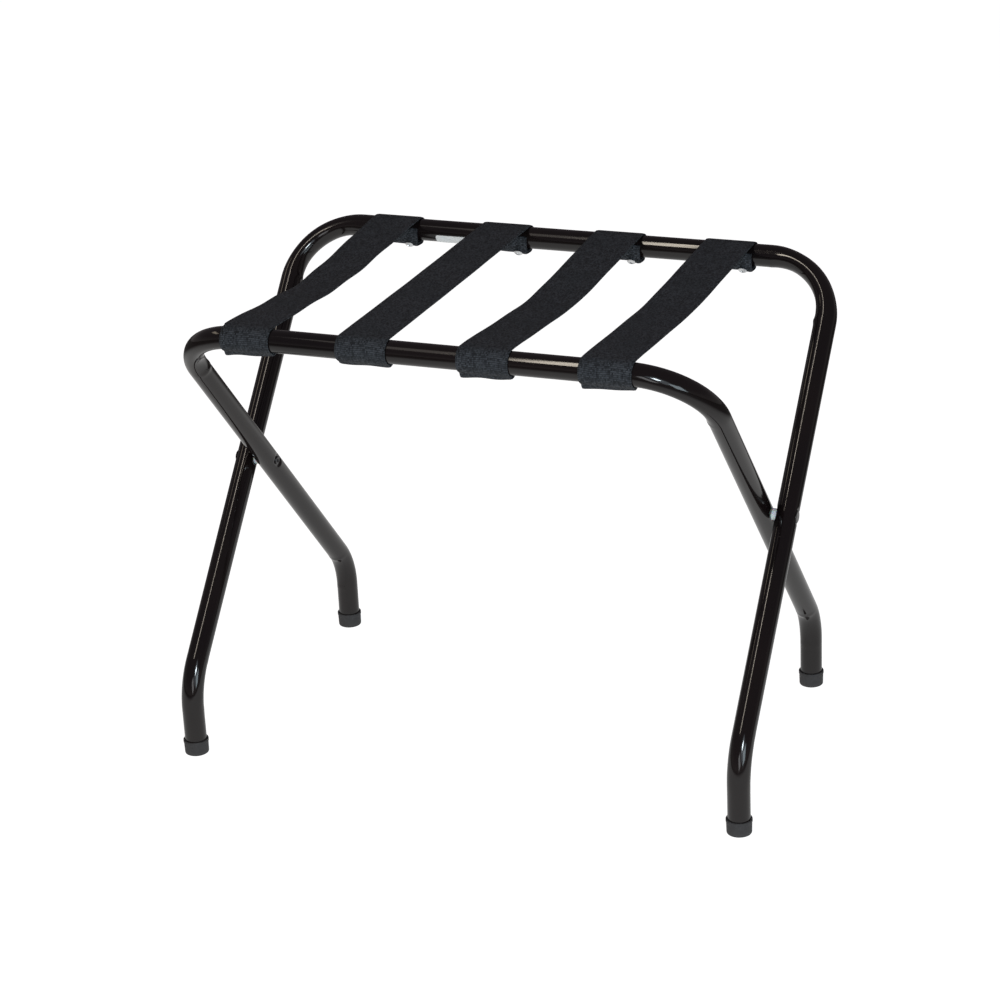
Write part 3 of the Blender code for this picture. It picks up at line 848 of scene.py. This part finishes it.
def ribbon(name, grid, flat, thickness):
    """A closed ribbon: the grid moved half a thickness along its normals both ways, with rounded edges.

    The normal is the cross product of the grid's two directions. Towards the selvedges the ribbon
    is a little thinner, which rounds them off.
    """
    rows, columns = grid.shape[:2]
    du = np.gradient(grid, axis=1)
    dv = np.gradient(grid, axis=0)
    normal = unit(np.cross(du, dv))
    edge = np.abs(np.linspace(-1, 1, columns))
    half = thickness / 2 * (1 - 0.45 * smooth_step(edge, 0.93, 1.0))[None, :, None]
    top = (grid + normal * half).reshape(-1, 3)
    bottom = (grid - normal * half).reshape(-1, 3)
    count = rows * columns
    skin = grid_faces(rows, columns, close_columns=False)
    i = np.arange(rows - 1) * columns
    j = np.arange(columns - 1)
    left = np.stack([i, i + columns, i + columns + count, i + count], axis=-1)
    k = i + columns - 1
    right = np.stack([k + columns, k, k + count, k + columns + count], axis=-1)
    start = np.stack([j + 1, j, j + count, j + 1 + count], axis=-1)
    last = (rows - 1) * columns + j
    end = np.stack([last, last + 1, last + 1 + count, last + count], axis=-1)
    faces = np.concatenate([skin, skin[:, ::-1] + count, left, right, start, end])
    uv = np.concatenate([flat.reshape(-1, 2)] * 2)
    return mesh_piece(name, np.concatenate([top, bottom]), faces, uv, smooth_angle=60)


print(f"a strap has {ACROSS} points across, and its layers lie {1000 * AIR:.1f} mm apart")

# %% Lay the straps
SAGS = ((0.0135, 0.0080), (0.0008, 0.0006), (0.0118, 0.0104), (0.0076, 0.0073))
RIPPLES = (0.0008, 0.0001, 0.0003, 0.0002)
for number, (sags, ripple) in enumerate(zip(SAGS, RIPPLES), start=1):
    rear = middle_of(f"strap_{number}_rear_wrap")
    front = middle_of(f"strap_{number}_front_wrap")
    grid, flat = strap_surface(number, front[0], rear[0], sags, ripple)
    strap = ribbon(f"strap_{number}", grid, flat, STRAP_T)
    strap.data.materials.append(webbing)
    face_outwards(strap)
    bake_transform(strap)
    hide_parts(*(f"strap_{number}_{part}" for part in ("rear_wrap", "span", "front_wrap")))

# %% [markdown]
# ## Screws
# Two zinc plated pan-head screws hold each folded end. The head is a height map on a disc: a dome
# with a cross recess taken out of it, and the recess is a function of the distance from the nearer
# of the two slots' centre lines. A Boolean cut would do the same, but leaves long thin faces.

# %% Zinc plate
zinc, n, shader = material("screw_zinc", Metallic=1.0)
_, skin, marks = grain_and_wear(n, 1400.0, 0.5, 500.0, 0.6)
colour = n.blend_colours(skin["Mottle"], (0.62, 0.64, 0.66, 1), (0.83, 0.84, 0.85, 1))
colour = n.blend_colours(n.math("MULTIPLY", marks["Mask"], 0.8), colour, (0.30, 0.29, 0.27, 1))
feed(n, shader, colour, n.ramp(skin["Mottle"], 0.0, 1.0, 0.2, 0.34))
bump(n, shader, skin["Height"], 0.00006, 0.6)
print("zinc ready")

# %% Screw shape
HEAD_R = 0.0047
HEAD_H = 0.0026
SHANK_R = 0.0021
SCREW_LENGTH = 0.012
SLOT_DEPTH = 0.0016
HEAD_ROWS = 20
HEAD_SEGMENTS = 64


def screw_points(turn):
    """A screw with its seat at zero and its head along +Z, as rows of points from tip to crown.

    The head's height at a radius r is a flat-topped dome, H * (1 - 0.62 * (r / R)^3.2), less the
    recess: a cross of two slots whose depth falls smoothly to nothing at their sides and ends.
    """
    angle = np.linspace(0, 2 * math.pi, HEAD_SEGMENTS, endpoint=False)[None]
    shank_z = np.array([-SCREW_LENGTH, -SCREW_LENGTH + 0.002, 0.0, 0.0])[:, None]
    shank_r = np.array([0.0, SHANK_R, SHANK_R, HEAD_R - 0.0002])[:, None]
    low = np.broadcast_arrays(shank_r * np.cos(angle), shank_r * np.sin(angle), shank_z)
    r = HEAD_R * (1 - np.linspace(0, 1, HEAD_ROWS)[:, None] ** 1.15)
    dome = HEAD_H * (1 - 0.62 * (r / HEAD_R) ** 3.2)
    x = r * np.cos(angle - turn)
    y = r * np.sin(angle - turn)
    nearer = np.minimum(np.abs(x), np.abs(y))
    farther = np.maximum(np.abs(x), np.abs(y))
    width = 0.00062 * (1 - 0.35 * farther / HEAD_R)
    slot = 1 - smooth_step(nearer, width * 0.55, width * 1.25)
    slot = slot * (1 - smooth_step(farther, 0.0018, 0.0029))
    z = dome - SLOT_DEPTH * slot
    head = np.stack([r * np.cos(angle), r * np.sin(angle), z], axis=-1)
    return np.concatenate([np.stack(low, axis=-1), head])


def screw(name, node, turn):
    """A screw placed on a CAD screw, which points down and towards the rack's middle at 45 degrees.

    The corner of the CAD screw's box is a little past its crown, by a share of the head's radius.
    """
    x, y, z = middle_of(node)
    way = 1 if y > 0 else -1
    outward = unit(np.array([0.0, -way, -1.0]))
    low, high = map(np.array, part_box(node))
    crown = np.array([x, low[1] if way == 1 else high[1], low[2]])
    crown = crown - outward * 0.25 * HEAD_R
    seat = crown - outward * HEAD_H
    side = np.array([1.0, 0, 0])
    other = np.cross(outward, side)
    points = screw_points(turn)
    points = seat + points[..., :1] * side + points[..., 1:2] * other + points[..., 2:] * outward
    piece = mesh_piece(name, points.reshape(-1, 3), grid_faces(len(points), HEAD_SEGMENTS))
    weld(piece)
    piece.data.set_sharp_from_angle(angle=math.radians(38))
    piece.data.materials.append(zinc)
    return piece


turns = np.random.default_rng(5).uniform(0, math.pi / 2, 16)
places = [(k, rail, hand) for k in (1, 2, 3, 4) for rail in ("rear", "front") for hand in ("a", "b")]
for (number, rail, hand), turn in zip(places, turns):
    node = f"strap_{number}_{rail}_screw_{hand}"
    piece = screw(f"screw_{number}_{rail}_{hand}", node, turn)
    face_outwards(piece)
    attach(piece, "outer" if rail == "rear" else "inner")
    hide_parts(node)

# %% [markdown]
# ## A blank label
# A small white sticker sits low on the front side of the rear rail, with nothing on it. It is a
# patch of the rail's own surface moved out by its thickness, with rounded corners, and the paper
# is a cool white with a few rubbed patches.

# %% Label paper
paper, n, shader = material("label_paper", Specular_IOR_Level=0.4)
_, fibre, marks = grain_and_wear(n, 1100.0, 0.2, 90.0, 0.6)
colour = n.blend_colours(fibre["Mottle"], (0.88, 0.93, 0.94, 1), (0.94, 0.96, 0.96, 1))
colour = n.blend_colours(n.math("MULTIPLY", marks["Mask"], 0.5), colour, (0.66, 0.66, 0.62, 1))
feed(n, shader, colour, n.ramp(fibre["Mottle"], 0.0, 1.0, 0.42, 0.6))
bump(n, shader, fibre["Height"], 0.00004, 0.6)
print("paper ready")

# %% Label shape
LABEL_T = 0.00028
low, high = map(np.array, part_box("label"))
label_w = high[0] - low[0]
LABEL_TOP = -174.0
LABEL_BOTTOM = -96.0
LABEL_CORNER = 0.0022
LABEL_ROWS = 33
LABEL_COLUMNS = 41
arc_length = math.radians(LABEL_BOTTOM - LABEL_TOP) * TUBE_R


def label_grid(rows, columns):
    """A patch with rounded corners: each row of the rectangle is narrowed by a quarter circle."""
    v = np.linspace(-0.5, 0.5, rows)[:, None] * arc_length
    past = np.clip(np.abs(v) - (arc_length / 2 - LABEL_CORNER), 0, LABEL_CORNER)
    reach = label_w / 2 - (LABEL_CORNER - np.sqrt(LABEL_CORNER**2 - past**2))
    x = (low[0] + high[0]) / 2 + np.linspace(-1, 1, columns)[None] * reach
    angle = np.radians((LABEL_TOP + LABEL_BOTTOM) / 2) + v / TUBE_R
    r = TUBE_R + 0.0001 + LABEL_T / 2
    points = np.broadcast_arrays(x, RAIL_Y + r * np.cos(angle), RAIL_Z + r * np.sin(angle))
    return np.stack(points, axis=-1)


grid = label_grid(LABEL_ROWS, LABEL_COLUMNS)
flat_v = np.linspace(0, arc_length, LABEL_ROWS)
flat_u = np.linspace(0, label_w, LABEL_COLUMNS)
flat = np.stack(np.meshgrid(flat_v, flat_u, indexing="ij"), axis=-1)
label = ribbon("blank_label", grid, flat, LABEL_T)
label.data.materials.append(paper)
face_outwards(label)
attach(label, "outer")
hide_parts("label")

# %% [markdown]
# ## Floor, light and camera
# Gloss black only shows what it reflects, so the room matters as much as the enamel. The rack
# stands on a large floor that glows: the camera sees it evenly white, while reflections and bounced
# light see a painted pool of glow, brightest near the rack and dark beyond, which puts the pale band
# along the underside of every tube. The ceiling is dim, which keeps the top side black. Narrow warm
# lamps and a small cool one give the thin bright lines along the tubes, and larger, fainter ones lift
# the webbing.

# %% Floor and room
FLOOR_REACH = 14.0
WHITE_TO = 0.7
DARK_FROM = 1.7


def plane(name, reach):
    """A square on the floor, facing up."""
    corners = reach * np.array([(-1.0, -1.0, 0.0), (1.0, -1.0, 0.0), (1.0, 1.0, 0.0), (-1.0, 1.0, 0.0)])
    return mesh_piece(name, corners, np.array([[0, 1, 2, 3]]))


def seen_or_reflected(nodes, seen, reflected):
    """A colour for what is looked at directly, and another for what lights and mirrors."""
    looked_at = nodes.add("ShaderNodeLightPath").outputs["Is Camera Ray"]
    return nodes.blend_colours(looked_at, reflected, seen)


floor = plane("floor", FLOOR_REACH)
# The floor glows. The camera sees it evenly white. Reflections and bounced light see a painted pool of glow,
# 0.53 near the rack and fading to dark between WHITE_TO and DARK_FROM, and the base colour fades the same
# way.
glowing_floor, n, shader = material("glowing_floor", Roughness=0.9, Specular_IOR_Level=0.0, Emission_Strength=1.0)
place = n.add("ShaderNodeTexCoord").outputs["Object"]
distance = n.add("ShaderNodeVectorMath", {0: place}, operation="LENGTH").outputs["Value"]
near = n.blend_colours(n.ramp(distance, WHITE_TO, DARK_FROM), (0.53, 0.53, 0.52, 1), (0.05, 0.047, 0.045, 1))
pool_base = n.blend_colours(n.ramp(distance, WHITE_TO, DARK_FROM), (0.5, 0.5, 0.5, 1), (0.1, 0.1, 0.1, 1))
n.tree.links.new(seen_or_reflected(n, (0.93, 0.93, 0.93, 1), near), shader.inputs["Emission Color"])
n.tree.links.new(seen_or_reflected(n, (0.6, 0.6, 0.6, 1), pool_base), shader.inputs["Base Color"])
floor.data.materials.append(glowing_floor)
print(f"floor reaches {FLOOR_REACH:.0f} m each way")

world = bpy.data.worlds.new("room")
bpy.context.scene.world = world
world.use_nodes = True
n = Nodes(world.node_tree)
direction = n.add("ShaderNodeTexCoord").outputs["Generated"]
up = n.add("ShaderNodeSeparateXYZ", {0: direction}).outputs["Z"]
dim = n.blend_colours(n.ramp(up, 0.0, 0.35), (0.22, 0.20, 0.20, 1), (0.12, 0.105, 0.115, 1))
background = world.node_tree.nodes["Background"]
world.node_tree.links.new(seen_or_reflected(n, (1.0, 1.0, 1.0, 1), dim), background.inputs["Color"])
background.inputs["Strength"].default_value = 1.0


# %% Lamps
def stand_at(made, right, upward, backward, place):
    """Places a lamp or camera by its three axes: it looks along the opposite of backward."""
    axes = np.eye(4)
    axes[:3, 0], axes[:3, 1], axes[:3, 2], axes[:3, 3] = right, upward, backward, place
    made.matrix_world = Matrix(axes.tolist())


def lamp(name, place, target, size, brightness, colour, along=(0, 1.0, 0)):
    """A rectangular lamp facing a target, with its long side near the direction along.

    Its brightness is per area, so a larger lamp gives more light.
    """
    light = bpy.data.lights.new(name, "AREA")
    light.shape = "RECTANGLE"
    light.size, light.size_y = size
    light.energy = brightness * size[0] * size[1] * math.pi
    light.color = colour
    made = bpy.data.objects.new(name, light)
    bpy.context.scene.collection.objects.link(made)
    backward = unit(np.array(place, dtype=float) - np.array(target, dtype=float))
    across = unit(np.cross(along, backward))
    stand_at(made, across, np.cross(backward, across), backward, place)
    print(f"{name}: {1000 * size[0]:.0f} x {1000 * size[1]:.0f} mm")


RACK = (0, 0, 0.3)
STRIP_ALONG = (0.19, 0.98, 0)
lamp("ceiling strip", (-0.80, -1.46, 2.75), RACK, (0.13, 1.65), 15.0, (1.0, 0.90, 0.76), STRIP_ALONG)
lamp("dim strip", (-1.08, -1.5, 2.75), RACK, (0.38, 1.1), 0.8, (1.0, 0.92, 0.84))
lamp("left strip", (-2.2, -0.3, 1.75), RACK, (0.2, 0.9), 2.4, (1.0, 0.86, 0.68))
lamp("cool softbox", (1.5, -2.72, 1.82), RACK, (0.42, 0.42), 42.0, (0.84, 0.95, 1.0))
lamp("cool window", (2.25, -1.95, 0.8), RACK, (0.9, 0.9), 4.5, (0.76, 0.92, 1.0))
lamp("cool sheet", (1.9, -3.0, 1.8), RACK, (1.9, 1.4), 1.3, (0.78, 0.90, 1.0))
lamp("front fill", (0.9, -3.9, 1.0), RACK, (1.6, 0.8), 2.4, (0.97, 0.98, 1.0))

# %% Camera
LENS = 107.898
CAMERA_AZIMUTH = 23.365
CAMERA_ELEVATION = 23.662
CAMERA_ROLL = -3.072
CAMERA_DISTANCE = 3.0078
CAMERA_TARGET = np.array([0.0075, -0.1278, 0.2422])
CAMERA_SHIFT = (0.0306, 0.0587)
azimuth, elevation, tilt = map(math.radians, (CAMERA_AZIMUTH, CAMERA_ELEVATION, CAMERA_ROLL))
level = np.array([math.sin(azimuth), -math.cos(azimuth), 0.0])
back = level * math.cos(elevation) + np.array([0.0, 0.0, math.sin(elevation)])
level_right = unit(np.cross(-back, [0, 0, 1.0]))
level_up = np.cross(level_right, -back)
right = level_right * math.cos(tilt) + level_up * math.sin(tilt)
upward = level_up * math.cos(tilt) - level_right * math.sin(tilt)
camera_data = bpy.data.cameras.new("camera")
camera_data.lens = LENS
camera_data.shift_x, camera_data.shift_y = CAMERA_SHIFT
camera = bpy.data.objects.new("camera", camera_data)
bpy.context.scene.collection.objects.link(camera)
stand_at(camera, right, upward, back, CAMERA_TARGET + back * CAMERA_DISTANCE)
bpy.context.scene.camera = camera
bpy.context.scene.view_settings.view_transform = "Standard"
print(f"camera {CAMERA_DISTANCE:.2f} m away, lens {LENS:.0f} mm")

# %% Finish
bpy.context.view_layer.update()
